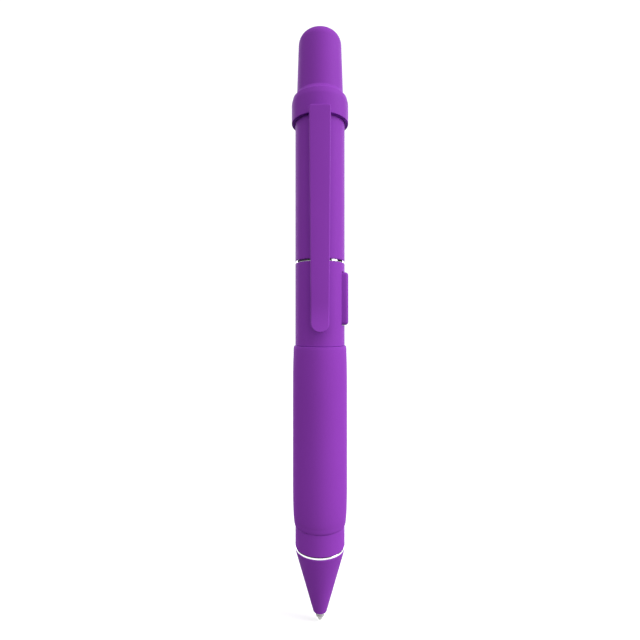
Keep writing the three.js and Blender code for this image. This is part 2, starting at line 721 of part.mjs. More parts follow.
// Side view: straight, then curving away from the barrel at the lower end, with a bump behind it.
function clipSide() {
  const steps = 6;
  const start = CLIP_BOTTOM + CLIP_FLARE_LENGTH;
  const flare = (t) => -CLIP_FLARE * t * t;
  const levels = Array.from({ length: steps + 1 }, (_, i) => i / steps);
  const front = levels.map((t) => [CLIP_FRONT + flare(t), start - CLIP_FLARE_LENGTH * t]);
  const back = levels.map((t) => [CLIP_BACK + flare(t), start - CLIP_FLARE_LENGTH * t]).reverse();
  const bump = arc(CLIP_BACK, start + BUMP_HALF_LENGTH, CLIP_BUMP, BUMP_HALF_LENGTH, -60, 90, 6);
  return [[CLIP_FRONT, CLIP_TOP], ...front, ...back, ...bump, [CLIP_BACK, CLIP_TOP]];
}

// Front view: tapered, with small round corners at the top and a full round end at the bottom.
function clipFront() {
  const c = CLIP_CORNER;
  const half = CLIP_TOP_HALF_WIDTH;
  return [
    ...arc(0, CLIP_BOTTOM + CLIP_END_R, CLIP_END_R, CLIP_END_R, 180, 360, 12),
    ...arc(half - c, CLIP_TOP - c, c, c, 0, 90, 3),
    ...arc(-half + c, CLIP_TOP - c, c, c, 90, 180, 3),
  ];
}

function clip() {
  const plate = common(
    prismX(clipSide(), 2 * CLIP_TOP_HALF_WIDTH),
    prismY(clipFront(), 2 * CLIP_FRONT, 0),
  );
  const foot = box(
    [-FOOT_HALF_WIDTH, FOOT_HALF_WIDTH],
    [CLIP_BACK - EDGE, -(BARREL_R + RUN_GAP)],
    [FOOT_BOTTOM, FOOT_TOP],
  );
  const hole = rod(RIVET_R + FIT_GAP, 0, -(CLIP_BACK + EDGE), FINE_SEGMENTS).rotateX(Math.PI / 2);
  return cut(join(plate, foot), hole.translate(0, 0, RIVET_Z));
}

function clipRivet() {
  const headOuter = GUIDE_SHOULDER_R - SHOULDER - FIT_GAP;
  const headInner = headOuter - RIVET_HEAD_HEIGHT;
  const end = -CLIP_BACK - SHOULDER;
  const profile = [
    [0, headInner],
    [RIVET_HEAD_R - EDGE, headInner],
    [RIVET_HEAD_R, headInner + EDGE / 2],
    [RIVET_HEAD_R, headOuter],
    [RIVET_R, headOuter],
    [RIVET_R, end],
    [0, end],
  ];
  return lathe(profile, FINE_SEGMENTS).rotateX(Math.PI / 2).translate(0, 0, RIVET_Z);
}

// ---- Build ----

add("lower_barrel", lowerBarrel(), PURPLE, 0.55, 0.1);
add("grip_sleeve", gripSleeve(), GRIP_PURPLE, 0.8, 0.0);
add("spring_seat", springSeat(), BRASS, 0.35, 1.0);
add("return_spring", returnSpring(), STEEL, 0.3, 1.0);
add("mechanism_housing", mechanismHousing(), DARK_PLASTIC, 0.5, 0.0);
add("catch_spring", catchSpring(), STEEL, 0.3, 1.0);
add("centre_ring", centreRing(), CHROME, 0.08, 1.0);
add("upper_barrel", upperBarrel(), PURPLE, 0.55, 0.1);
add("plunger_guide", plungerGuide(), DARK_PLASTIC, 0.5, 0.0);
add("collar", collar(), PURPLE, 0.55, 0.1);
add("plunger_cap", plungerCap(), PURPLE, 0.55, 0.1);
add("thrust_tube", thrustTube(), STEEL, 0.35, 1.0);
add("catch_rod", catchRod(), BRASS, 0.35, 1.0);
add("retaining_ring", retainingRing(), STEEL, 0.3, 1.0);
add("refill_tube", refillTube(), STEEL, 0.3, 1.0);
add("refill_tip", refillTip(), STEEL, 0.25, 1.0);
add("writing_ball", writingBall(), CHROME, 0.15, 1.0);
add("ink_column", inkColumn(), INK, 0.4, 0.0);
add("nose_cone", noseCone(), PURPLE, 0.55, 0.1);
add("nose_ring", noseRing(), CHROME, 0.08, 1.0);
add("side_button", sideButton(), PURPLE, 0.55, 0.0);
add("clip", clip(), PURPLE, 0.55, 0.1);
add("clip_rivet", clipRivet(), STEEL, 0.3, 1.0);

export default pen;
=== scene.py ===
import math

import bmesh
import bpy
from mathutils import Matrix, Vector


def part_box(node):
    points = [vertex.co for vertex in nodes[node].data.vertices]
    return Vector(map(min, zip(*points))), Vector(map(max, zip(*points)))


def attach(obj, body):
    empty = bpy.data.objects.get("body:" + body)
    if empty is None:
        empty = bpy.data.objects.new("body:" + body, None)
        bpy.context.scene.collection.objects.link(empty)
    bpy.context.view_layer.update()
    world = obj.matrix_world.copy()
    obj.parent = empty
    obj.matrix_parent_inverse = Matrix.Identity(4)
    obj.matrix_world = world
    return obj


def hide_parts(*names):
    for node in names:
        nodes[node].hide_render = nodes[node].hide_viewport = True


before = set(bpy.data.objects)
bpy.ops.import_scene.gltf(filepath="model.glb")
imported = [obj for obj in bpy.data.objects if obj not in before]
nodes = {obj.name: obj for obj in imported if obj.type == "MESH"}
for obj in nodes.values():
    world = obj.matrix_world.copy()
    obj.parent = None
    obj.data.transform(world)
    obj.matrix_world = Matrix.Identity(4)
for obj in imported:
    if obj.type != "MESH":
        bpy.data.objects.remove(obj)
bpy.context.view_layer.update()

MM = 0.001
X, Y, Z = 0, 1, 2
AROUND = 112  # faces round a turned piece
FINE_AROUND = 128
SMALL_AROUND = 64
SAME_POINT = 1e-5


def reach(node, axis):
    """The lowest and highest point of a CAD node along an axis, in millimetres."""
    low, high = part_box(node)
    return round(low[axis] / MM, 2), round(high[axis] / MM, 2)


# ---- Main sizes, in millimetres ----

# From the frame
BARREL_R = reach("upper_barrel", X)[1]
LOWER_BOTTOM, LOWER_TOP = reach("lower_barrel", Z)
UPPER_BOTTOM, UPPER_TOP = reach("upper_barrel", Z)
COLLAR_R = reach("collar", X)[1]
COLLAR_BOTTOM, COLLAR_TOP = reach("collar", Z)
CAP_R = reach("plunger_cap", X)[1]
CAP_BOTTOM, CAP_TOP = reach("plunger_cap", Z)
TUBE_TOP = reach("thrust_tube", Z)[1]
CENTRE_RING_R = reach("centre_ring", X)[1]
CENTRE_RING = reach("centre_ring", Z)
NOSE_RING = reach("nose_ring", Z)
NOSE_BOTTOM, NECK_TOP = reach("nose_cone", Z)
SLEEVE_BOTTOM, SLEEVE_TOP = reach("grip_sleeve", Z)
SEAT_BOTTOM, SEAT_TOP = reach("spring_seat", Z)
SPRING_TOP = reach("return_spring", Z)[1]
FLANGE_BOTTOM, FLANGE_TOP = reach("side_button", Z)
BUTTON_FACE = reach("side_button", X)[1]
CLIP_BOTTOM, CLIP_TOP = reach("clip", Z)
CLIP_HALF = reach("clip", X)[1]
RIVET_Z = sum(reach("clip_rivet", Z)) / 2

# As in the CAD part
GAP = 0.05  # between pieces that rest on each other
LOWER_BORE_R = 4.6
UPPER_BORE_R = 5.0
BORE_STEP = 0.3  # inner steps that pressed-in pieces rest against
RUN_GAP = 0.1  # round the button in its window
GRIP_SEAT_R = 5.45
GRIP_BULGE = 0.6  # how far the sleeve stands proud at its fattest
GRIP_STEP = 0.36  # and at its top end
GRIP_LIP_STEP = 0.33  # and above its bottom lip
GRIP_LIP = 1.4
NOSE_END_R = 1.62
NOSE_HOLE_R = 1.1
NOSE_BORE_R = 1.35
NECK_R = 4.5
NECK_BORE_R = 3.6
BUTTON_HALF = 3.0
BUTTON_OVERLAP = 0.8  # of its flange, past the window at each end
CAP_WALL = 0.9
CAP_PLAY = 0.09
CAP_TOP_R = 5.2
CAP_ROUND = 3.0
BOSS_R = 3.5
BOSS_BORE_R = 2.55
CLIP_THICKNESS = 1.2
CLIP_CORNER = 0.6
CLIP_END_R = 2.07
CLIP_FLARE = 1.2
CLIP_FLARE_LENGTH = 6.4

# The neck's thread, which the CAD part leaves plain
THREAD_DEPTH = 0.32
THREAD_PITCH = 1.0

# Worked out from those
NOSE_TOP = NOSE_RING[0] - GAP
GRIP_BOTTOM = SLEEVE_BOTTOM - GAP
GRIP_TOP = SLEEVE_TOP + GAP
BUTTON_BOTTOM = FLANGE_BOTTOM + BUTTON_OVERLAP
BUTTON_TOP = FLANGE_TOP - BUTTON_OVERLAP
CLIP_FRONT = reach("clip", Y)[0] + CLIP_FLARE
CLIP_BACK = CLIP_FRONT + CLIP_THICKNESS


# ---- Mesh helpers ----

def made(name, bm, sharp=40):
    """Turns a bmesh in millimetres into an object in metres, smooth but for edges sharper than the angle."""
    bmesh.ops.remove_doubles(bm, verts=bm.verts, dist=SAME_POINT)
    bmesh.ops.recalc_face_normals(bm, faces=bm.faces)
    mesh = bpy.data.meshes.new(name)
    bm.to_mesh(mesh)
    bm.free()
    mesh.transform(Matrix.Scale(MM, 4))
    for face in mesh.polygons:
        face.use_smooth = True
    mesh.set_sharp_from_angle(angle=math.radians(sharp))
    obj = bpy.data.objects.new(name, mesh)
    bpy.context.scene.collection.objects.link(obj)
    return obj


def arc(cx, cy, rx, ry, start, end, steps):
    """Points on an ellipse, angles in degrees."""
    turns = [math.radians(start + (end - start) * i / steps) for i in range(steps + 1)]
    return [(cx + rx * math.cos(a), cy + ry * math.sin(a)) for a in turns]


def rounded(corners, steps=5):
    """A closed outline from (r, z, edge radius) corners: each an arc with a support point on either side."""
    points = []
    for i, (x, y, radius) in enumerate(corners):
        here = Vector((x, y))
        before = Vector(corners[i - 1][:2])
        after = Vector(corners[(i + 1) % len(corners)][:2])
        back = before - here
        on = after - here
        if radius <= 0:
            points.append((x, y))
            continue
        half = back.angle(on) / 2
        setback = min(radius / math.tan(half), 0.45 * back.length, 0.45 * on.length)
        radius = setback * math.tan(half)
        middle = here + (back.normalized() + on.normalized()).normalized() * radius / math.sin(half)
        a = here + back.normalized() * setback
        b = here + on.normalized() * setback
        from_a = a - middle
        turn = from_a.angle_signed(b - middle)
        support = min(0.06, 0.05 * back.length)
        points.append(tuple(a + back.normalized() * support))
        for k in range(steps + 1):
            spun = from_a.copy()
            spun.rotate(Matrix.Rotation(-turn * k / steps, 2))
            points.append(tuple(middle + spun))
        points.append(tuple(b + on.normalized() * support))
    return points


def lathe(name, profile, around=AROUND, closed=True, sharp=40):
    """A profile of (radius, height) turned about Z. An open profile starts and ends on the axis."""
    bm = bmesh.new()
    rings = []
    for r, z in profile:
        if r < SAME_POINT:
            rings.append([bm.verts.new((0, 0, z))])
            continue
        steps = [2 * math.pi * k / around for k in range(around)]
        rings.append([bm.verts.new((r * math.cos(a), r * math.sin(a), z)) for a in steps])
    pairs = list(zip(rings, rings[1:] + ([rings[0]] if closed else [])))
    for low, high in pairs[: len(rings) if closed else len(rings) - 1]:
        for k in range(around):
            n = (k + 1) % around
            quad = [low[k % len(low)], low[n % len(low)], high[n % len(high)], high[k % len(high)]]
            corners = list(dict.fromkeys(quad))
            if len(corners) > 2:
                bm.faces.new(corners)
    return made(name, bm, sharp)


def stack(bm, loops, close=True):
    """Joins loops of points, each with the same count, into a skin, and closes both ends if asked to."""
    rows = [[bm.verts.new(p) for p in loop] for loop in loops]
    for low, high in zip(rows, rows[1:]):
        for k in range(len(low)):
            n = (k + 1) % len(low)
            bm.faces.new([low[k], low[n], high[n], high[k]])
    if close:
        bm.faces.new(rows[0][::-1])
        bm.faces.new(rows[-1])
    return rows


def fillet_levels(bottom, top, radius, steps=5):
    """(inset, z) pairs up a body whose two ends have edges of that radius."""
    low = [(radius * (1 - math.sin(a)), bottom + radius * (1 - math.cos(a)))
           for a in (math.pi / 2 * k / steps for k in range(steps + 1))]
    high = [(inset, top - (z - bottom)) for inset, z in reversed(low)]
    return low + high


# ---- Material helpers ----

class Finish:
    """A principled material, with helpers for procedural detail in object space, at its real scale."""

    def __init__(self, name, colour, roughness, **sockets):
        self.material = bpy.data.materials.new(name)
        self.material.use_nodes = True
        self.tree = self.material.node_tree
        self.shader = self.tree.nodes["Principled BSDF"]
        self.shader.inputs["Base Color"].default_value = (*colour, 1)
        self.shader.inputs["Roughness"].default_value = roughness
        for key, value in sockets.items():
            self.shader.inputs[key.replace("_", " ")].default_value = value
        self.place = self.tree.nodes.new("ShaderNodeTexCoord")

    def node(self, kind, **values):
        made_node = self.tree.nodes.new(kind)
        for key, value in values.items():
            made_node.inputs[key.replace("_", " ")].default_value = value
        return made_node

    def link(self, start, end):
        self.tree.links.new(start, end)

    def noise(self, scale, detail=2.0, stretch=(1, 1, 1)):
        mapping = self.node("ShaderNodeMapping", Scale=stretch)
        noise = self.node("ShaderNodeTexNoise", Scale=scale, Detail=detail)
        self.link(self.place.outputs["Object"], mapping.inputs["Vector"])
        self.link(mapping.outputs["Vector"], noise.inputs["Vector"])
        return noise.outputs["Fac"]

    def mapped(self, source, low, high, start=0.3, end=0.7):
        ramp = self.node("ShaderNodeMapRange")
        ramp.inputs["From Min"].default_value = start
        ramp.inputs["From Max"].default_value = end
        ramp.inputs["To Min"].default_value = low
        ramp.inputs["To Max"].default_value = high
        self.link(source, ramp.inputs["Value"])
        return ramp.outputs["Result"]

    def colours(self, source, dark, light):
        ramp = self.node("ShaderNodeValToRGB")
        ramp.color_ramp.elements[0].position = 0.3
        ramp.color_ramp.elements[1].position = 0.7
        ramp.color_ramp.elements[0].color = (*dark, 1)
        ramp.color_ramp.elements[1].color = (*light, 1)
        self.link(source, ramp.inputs["Fac"])
        self.link(ramp.outputs["Color"], self.shader.inputs["Base Color"])

    def roughness(self, source, low, high):
        self.link(self.mapped(source, low, high), self.shader.inputs["Roughness"])

    def bump(self, source, height_mm, strength=1.0):
        bump = self.node("ShaderNodeBump", Strength=strength, Distance=height_mm * MM)
        self.link(source, bump.inputs["Height"])
        self.link(bump.outputs["Normal"], self.shader.inputs["Normal"])


def tint(colour, factor):
    """The colour made lighter or darker."""
    return tuple(c * factor for c in colour)


def moulded(name, colour, roughness, grain_mm, height_mm, **sockets):
    """Plastic, lacquer or rubber: a fine even grain, and slow small changes of tone and gloss."""
    finish = Finish(name, colour, roughness, **sockets)
    finish.colours(finish.noise(55.0, 3.0), tint(colour, 0.975), tint(colour, 1.025))
    finish.roughness(finish.noise(320.0, 3.0), roughness - 0.04, roughness + 0.04)
    finish.bump(finish.noise(1.0 / (grain_mm * MM), 2.0), height_mm)
    return finish.material


def metal(name, colour, roughness, line_mm, height_mm, stretch, spread=0.08):
    """Turned, drawn or brushed metal: fine lines along one direction."""
    finish = Finish(name, colour, roughness, Metallic=1.0)
    lines = finish.noise(1.0 / (line_mm * MM), 3.0, stretch)
    finish.roughness(lines, max(0.02, roughness - spread), roughness + spread)
    finish.bump(lines, height_mm)
    finish.colours(finish.noise(260.0, 2.0), tint(colour, 0.94), colour)
    return finish.material


PURPLE = (0.285, 0.0485, 0.476)
TURNED = (0.04, 0.04, 1.0)
DRAWN = (1.0, 1.0, 0.03)

barrel_skin = moulded("soft_touch_lacquer", PURPLE, 0.62, 0.09, 0.0016, Specular_IOR_Level=0.07)
grip_skin = moulded("matt_silicone", PURPLE, 0.7, 0.14, 0.003, Specular_IOR_Level=0.07)
clip_skin = moulded("matt_paint", PURPLE, 0.58, 0.12, 0.002, Specular_IOR_Level=0.08)
button_skin = moulded("matt_moulding", PURPLE, 0.6, 0.1, 0.002, Specular_IOR_Level=0.08)
chrome = metal("polished_chrome", (0.93, 0.93, 0.94), 0.06, 0.05, 0.0002, TURNED, 0.03)
point_metal = metal("turned_point", (0.42, 0.418, 0.41), 0.3, 0.05, 0.0012, TURNED)
ball_metal = metal("carbide_ball", (0.5, 0.5, 0.51), 0.2, 0.02, 0.0003, (1, 1, 1))
tube_metal = metal("drawn_tube", (0.7, 0.7, 0.69), 0.28, 0.05, 0.001, DRAWN)
drawn_aluminium = metal("drawn_aluminium", (0.78, 0.79, 0.8), 0.3, 0.05, 0.001, DRAWN)
spring_steel = metal("bright_spring_steel", (0.56, 0.57, 0.59), 0.24, 0.04, 0.0008, (1, 1, 1))
brass = metal("turned_brass", (0.75, 0.55, 0.24), 0.27, 0.05, 0.001, TURNED)
acetal = moulded("acetal", (0.022, 0.02, 0.026), 0.45, 0.12, 0.002)
ink_skin = moulded("ink_paste", (0.008, 0.011, 0.06), 0.2, 0.3, 0.001)


def finished(obj, body, slot, material, *replaced):
    """Gives a piece its material, rides it on its body and puts it in place of its CAD node. The slot
    argument is not used.
    """
    obj.data.materials.clear()
    obj.data.materials.append(material)
    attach(obj, body)
    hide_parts(*replaced)
    return obj


# ---- Camera, floor and light ----

def build_camera():
    data = bpy.data.cameras.new("view")
    data.sensor_width = 36.0
    data.lens = 23.46
    data.clip_start = 0.002
    camera = bpy.data.objects.new("view", data)
    camera.location = (0, -0.102, 0.0733)
    camera.rotation_euler = (math.pi / 2, 0, 0)
    bpy.context.scene.collection.objects.link(camera)
    bpy.context.scene.camera = camera


def build_floor():
    bm = bmesh.new()
    bmesh.ops.create_circle(bm, cap_ends=True, segments=96, radius=900)
    floor = made("floor", bm)
    floor.location.z = -0.0002
    finish = Finish("pale_floor", (0.92, 0.92, 0.92), 0.9, Specular_IOR_Level=0.1)
    finish.roughness(finish.noise(20.0), 0.85, 0.95)
    floor.data.materials.append(finish.material)
    floor.visible_diffuse = False


def panel(name, azimuth, elevation, power, width, height, distance, gloss):
    """A soft box aimed at the pen's middle. Azimuth is from the camera's side towards +X."""
    data = bpy.data.lights.new(name, "AREA")
    data.shape = "RECTANGLE"
    data.size = width
    data.size_y = height
    data.energy = power
    data.specular_factor = gloss
    lamp = bpy.data.objects.new(name, data)
    a, e = math.radians(azimuth), math.radians(elevation)
    away = Vector((math.sin(a) * math.cos(e), -math.cos(a) * math.cos(e), math.sin(e)))
    lamp.location = Vector((0, 0, 0.075)) + away * distance
    lamp.rotation_euler = away.to_track_quat("Z", "Y").to_euler()
    bpy.context.scene.collection.objects.link(lamp)


def build_light():
    """An even sky, dim below the horizon and seen as white, a low fill, a key from the right and two rims."""
    world = bpy.data.worlds.new("studio")
    bpy.context.scene.world = world
    world.use_nodes = True
    tree = world.node_tree
    background = tree.nodes["Background"]
    background.inputs["Color"].default_value = (1, 1, 1, 1)
    place = tree.nodes.new("ShaderNodeTexCoord")
    split = tree.nodes.new("ShaderNodeSeparateXYZ")
    sky = tree.nodes.new("ShaderNodeMapRange")
    sky.interpolation_type = "SMOOTHSTEP"
    for key, value in (("From Min", -0.12), ("From Max", 0.12), ("To Min", 0.03), ("To Max", 0.9)):
        sky.inputs[key].default_value = value
    towards = tree.nodes.new("ShaderNodeVectorMath")
    towards.operation = "DOT_PRODUCT"
    towards.inputs[1].default_value = (0.64, -0.72, -0.26)
    fill = tree.nodes.new("ShaderNodeMapRange")
    fill.interpolation_type = "SMOOTHSTEP"
    for key, value in (("From Min", 0.35), ("From Max", 1.0), ("To Min", 0.0), ("To Max", 0.42)):
        fill.inputs[key].default_value = value
    both = tree.nodes.new("ShaderNodeMath")
    ray = tree.nodes.new("ShaderNodeLightPath")
    glossy = tree.nodes.new("ShaderNodeMix")
    glossy.inputs["B"].default_value = 0.03
    seen = tree.nodes.new("ShaderNodeMix")
    seen.inputs["B"].default_value = 1.1
    tree.links.new(place.outputs["Generated"], split.inputs["Vector"])
    tree.links.new(split.outputs["Z"], sky.inputs["Value"])
    tree.links.new(place.outputs["Generated"], towards.inputs[0])
    tree.links.new(towards.outputs["Value"], fill.inputs["Value"])
    tree.links.new(sky.outputs["Result"], both.inputs[0])
    tree.links.new(fill.outputs["Result"], both.inputs[1])
    tree.links.new(both.outputs["Value"], glossy.inputs["A"])
    tree.links.new(ray.outputs["Is Glossy Ray"], glossy.inputs["Factor"])
    tree.links.new(glossy.outputs["Result"], seen.inputs["A"])
    tree.links.new(ray.outputs["Is Camera Ray"], seen.inputs["Factor"])
    tree.links.new(seen.outputs["Result"], background.inputs["Strength"])
    panel("key", 75, 28, 9.8, 0.6, 1.0, 1.2, 0.5)
    panel("rim_right", 145, 18, 5.2, 0.4, 1.0, 1.2, 0.3)
    panel("rim_left", -145, 18, 6.4, 0.4, 1.0, 1.2, 0.3)


build_camera()
build_floor()
build_light()
bpy.context.scene.view_settings.view_transform = "Standard"


# ---- Plunger cap and collar ----

def cap_profile():
    """From the axis inside, down the boss and the wall, round the rim and up the outside to the dome."""
    wall_r = CAP_R - CAP_WALL
    roof_r = CAP_TOP_R - CAP_WALL
    roof = CAP_TOP - CAP_ROUND - CAP_WALL
    socket_top = TUBE_TOP + 0.1
    boss_bottom = CAP_BOTTOM + 0.8
    inside = [(0, socket_top), (BOSS_BORE_R, socket_top), (BOSS_BORE_R, boss_bottom)]
    inside += [(BOSS_R, boss_bottom), (BOSS_R, roof), (roof_r, roof), (wall_r, COLLAR_TOP)]
    rim = [(wall_r, CAP_BOTTOM), (CAP_R - 0.17, CAP_BOTTOM), (CAP_R - 0.05, CAP_BOTTOM + 0.05)]
    outside = [(CAP_R, CAP_BOTTOM + 0.18), (CAP_R, COLLAR_TOP), (CAP_R - 0.19, CAP_TOP - 9)]
    dome = arc(CAP_TOP_R - CAP_ROUND, CAP_TOP - CAP_ROUND, CAP_ROUND, CAP_ROUND, 2, 90, 14)
    return inside + rim + outside + dome + [(1.1, CAP_TOP), (0, CAP_TOP)]


def build_cap():
    cap = lathe("plunger_cap_skin", cap_profile(), closed=False)
    finished(cap, "plunger", "barrel", barrel_skin, "plunger_cap")


def collar_profile():
    """A straight skirt, a tapered shoulder, a round and a hollow sweep up to the cap's mouth."""
    bore_r = BARREL_R + GAP
    mouth_r = CAP_R + CAP_PLAY
    taper_r = 4.0
    taper_drop = 2.95  # from the collar's top to each arc's centre
    shoulder_r = 0.3
    shoulder_drop = 1.36
    sweep_r = 2.2
    sweep_rise = 0.63
    skirt = rounded([
        (bore_r, COLLAR_BOTTOM, 0.05),
        (COLLAR_R, COLLAR_BOTTOM, 0.12),
        (COLLAR_R, COLLAR_BOTTOM + 1, 0),
    ], 7)
    taper = arc(COLLAR_R - taper_r, COLLAR_TOP - taper_drop, taper_r, taper_r, 0, 11, 6)
    shoulder = arc(COLLAR_R - 0.6, COLLAR_TOP - shoulder_drop, shoulder_r, shoulder_r, 12, 52, 7)
    sweep = arc(COLLAR_R + 0.93, COLLAR_TOP + sweep_rise, -sweep_r, -sweep_r, 51.5, 17.5, 12)
    mouth = [(mouth_r, COLLAR_TOP), (mouth_r, UPPER_TOP + GAP), (bore_r, UPPER_TOP + GAP)]
    return skirt + taper + shoulder + sweep + mouth


def build_collar():
    collar = lathe("collar_skin", collar_profile())
    finished(collar, "barrel", "barrel", barrel_skin, "collar")


# ---- Barrels ----

def drilled(obj, hole):
    """Cuts one closed mesh out of another, for good."""
    modifier = obj.modifiers.new("cut", "BOOLEAN")
    modifier.operation = "DIFFERENCE"
    modifier.solver = "EXACT"
    modifier.object = hole
    bpy.context.view_layer.update()
    result = obj.evaluated_get(bpy.context.evaluated_depsgraph_get()).to_mesh()
    cut = bmesh.new()
    cut.from_mesh(result)
    obj.modifiers.clear()
    cut.to_mesh(obj.data)
    cut.free()
    obj.data.set_sharp_from_angle(angle=math.radians(35))
    bpy.data.objects.remove(hole)


def rounded_block(x, y, z, edge, steps=4):
    """A block between two x, two y and two z, in millimetres, with its edges along X rounded."""
    bm = bmesh.new()
    loops = []
    for level in x:
        corners = []
        for cy, cz, start in ((y[1], z[1], 0), (y[0], z[1], 90), (y[0], z[0], 180), (y[1], z[0], 270)):
            sy = -1 if cy == y[1] else 1
            sz = -1 if cz == z[1] else 1
            corners += arc(cy + sy * edge, cz + sz * edge, edge, edge, start, start + 90, steps)
        loops.append([(level, a, b) for a, b in corners])
    stack(bm, loops)
    return made("block", bm)


def build_upper_barrel():
    upper = lathe("upper_barrel_skin", rounded([
        (UPPER_BORE_R, UPPER_BOTTOM, 0.05),
        (BARREL_R, UPPER_BOTTOM, 0.22),
        (BARREL_R, UPPER_TOP, 0.1),
        (UPPER_BORE_R, UPPER_TOP, 0),
    ]))
    half = 0.95
    through_wall = (-BARREL_R - 0.5, -UPPER_BORE_R + 0.5)
    rivet_hole = rounded_block((-half, half), through_wall, (RIVET_Z - half, RIVET_Z + half), 0.3)
    drilled(upper, rivet_hole)
    finished(upper, "barrel", "barrel", barrel_skin, "upper_barrel")


def build_lower_barrel():
    """With the grip's seat outside, the spring seat's step inside and the button's window."""
    step_r = LOWER_BORE_R - BORE_STEP
    step_top = SEAT_BOTTOM - GAP
    step_bottom = NECK_TOP + 0.5
    lower = lathe("lower_barrel_skin", rounded([
        (LOWER_BORE_R, LOWER_BOTTOM, 0.05),
        (BARREL_R, LOWER_BOTTOM, 0.15),
        (BARREL_R, GRIP_BOTTOM, 0.06),
        (GRIP_SEAT_R, GRIP_BOTTOM, 0),
        (GRIP_SEAT_R, GRIP_TOP, 0),
        (BARREL_R, GRIP_TOP, 0.1),
        (BARREL_R, LOWER_TOP, 0.22),
        (LOWER_BORE_R, LOWER_TOP, 0.05),
        (LOWER_BORE_R, step_top, 0),
        (step_r, step_top, 0),
        (step_r, step_bottom, 0),
        (LOWER_BORE_R, step_bottom, 0),
    ]))
    half = BUTTON_HALF + RUN_GAP
    through_wall = (3.2, BARREL_R + 1.5)
    ends = (BUTTON_BOTTOM - RUN_GAP, BUTTON_TOP + RUN_GAP)
    window = rounded_block(through_wall, (-half, half), ends, 0.35)
    drilled(lower, window)
    finished(lower, "barrel", "barrel", barrel_skin, "lower_barrel")


def grip_profile():
    """Up the outside: a rounded bottom lip, a slow swell, a straight middle and a step at the top."""
    bore_r = GRIP_SEAT_R + GAP
    swell = 8.7
    edge_r = 0.22
    lip = arc(BARREL_R, SLEEVE_BOTTOM + GRIP_LIP, GRIP_LIP_STEP, GRIP_LIP, -88, -15, 6)
    lower_swell = arc(BARREL_R + GRIP_LIP_STEP, SLEEVE_BOTTOM + GRIP_LIP + swell + 0.05,
                      GRIP_BULGE - GRIP_LIP_STEP, swell, -86, 0, 12)
    upper_swell = arc(BARREL_R + GRIP_STEP, SLEEVE_TOP - swell - 0.35,
                      GRIP_BULGE - GRIP_STEP, swell, 0, 88, 12)
    edge = arc(BARREL_R + GRIP_STEP - edge_r, SLEEVE_TOP - edge_r, edge_r, edge_r, 0, 90, 5)
    return [(bore_r, SLEEVE_BOTTOM)] + lip + lower_swell + upper_swell + edge + [(bore_r, SLEEVE_TOP)]


def build_grip():
    grip = lathe("grip_sleeve_skin", grip_profile(), around=FINE_AROUND)
    finished(grip, "barrel", "grip", grip_skin, "grip_sleeve")


def ring_profile(bore_r, outer_r, low, high, edge):
    """A plain ring, sharper at its bore than at its outer edges."""
    bore_edge = 0.04
    return rounded([
        (bore_r, low, bore_edge),
        (outer_r, low, edge),
        (outer_r, high, edge),
        (bore_r, high, bore_edge),
    ])


def build_centre_ring():
    ring = lathe("centre_ring_skin", ring_profile(UPPER_BORE_R, CENTRE_RING_R, *CENTRE_RING, 0.07))
    finished(ring, "barrel", "ring_chrome", chrome, "centre_ring")


def build_nose_ring():
    ring = lathe("nose_ring_skin", ring_profile(LOWER_BORE_R, BARREL_R, *NOSE_RING, 0.09))
    finished(ring, "nose_carrier", "ring_chrome", chrome, "nose_ring")


# ---- Nose and writing point ----

def threaded_neck(around=72, rows=84):
    """The nose's neck with its thread, from its shoulder to its chamfered end, and its bore."""
    bm = bmesh.new()
    height = NECK_TOP - NOSE_TOP
    chamfer = 0.35
    chamfer_height = 0.4
    loops = []
    for row in range(rows + 1):
        z = NOSE_TOP + height * row / rows
        loop = []
        for k in range(around):
            turn = k / around
            phase = ((z - NOSE_TOP) / THREAD_PITCH - turn) % 1.0
            ridge = min(1.0, max(0.0, 2.4 * abs(2 * phase - 1) - 0.5))
            fade = max(0.0, min(1.0, (z - NOSE_TOP) / 0.8, (NECK_TOP - z) / 0.5))
            r = NECK_R - THREAD_DEPTH * fade * (1 - ridge)
            r -= chamfer * max(0.0, 1 - (NECK_TOP - z) / chamfer_height)
            loop.append((r * math.cos(math.tau * turn), r * math.sin(math.tau * turn), z))
        loops.append(loop)
    turns = [math.tau * k / around for k in range(around)]
    for z in (NECK_TOP, NOSE_TOP - 0.9):
        loops.append([(NECK_BORE_R * math.cos(a), NECK_BORE_R * math.sin(a), z) for a in turns])
    stack(bm, loops, close=False)
    return made("neck", bm, 50)


def joined(*parts):
    """One object from several."""
    first = parts[0]
    bm = bmesh.new()
    for part in parts:
        bm.from_mesh(part.data)
    bm.to_mesh(first.data)
    bm.free()
    for part in parts[1:]:
        bpy.data.objects.remove(part)
    return first


def build_nose():
    """The cone and its bore, which narrows from the neck to the hole for the point."""
    cone = lathe("nose_cone_skin", rounded([
        (NOSE_HOLE_R, NOSE_BOTTOM, 0.03),
        (NOSE_END_R, NOSE_BOTTOM, 0.5),
        (BARREL_R - 0.02, NOSE_TOP - 0.3, 0.6),
        (BARREL_R, NOSE_TOP, 0.08),
        (NECK_R - THREAD_DEPTH, NOSE_TOP, 0),
        (NECK_BORE_R, NOSE_TOP - 1, 0),
        (NOSE_BORE_R, NOSE_TOP - 8, 0),
        (NOSE_BORE_R, NOSE_BOTTOM + 1.6, 0),
        (NOSE_HOLE_R, NOSE_BOTTOM + 1.3, 0),
    ], 7), around=FINE_AROUND)
    nose = joined(cone, threaded_neck())
    nose.data.set_sharp_from_angle(angle=math.radians(40))
    finished(nose, "nose", "barrel", barrel_skin, "nose_cone")


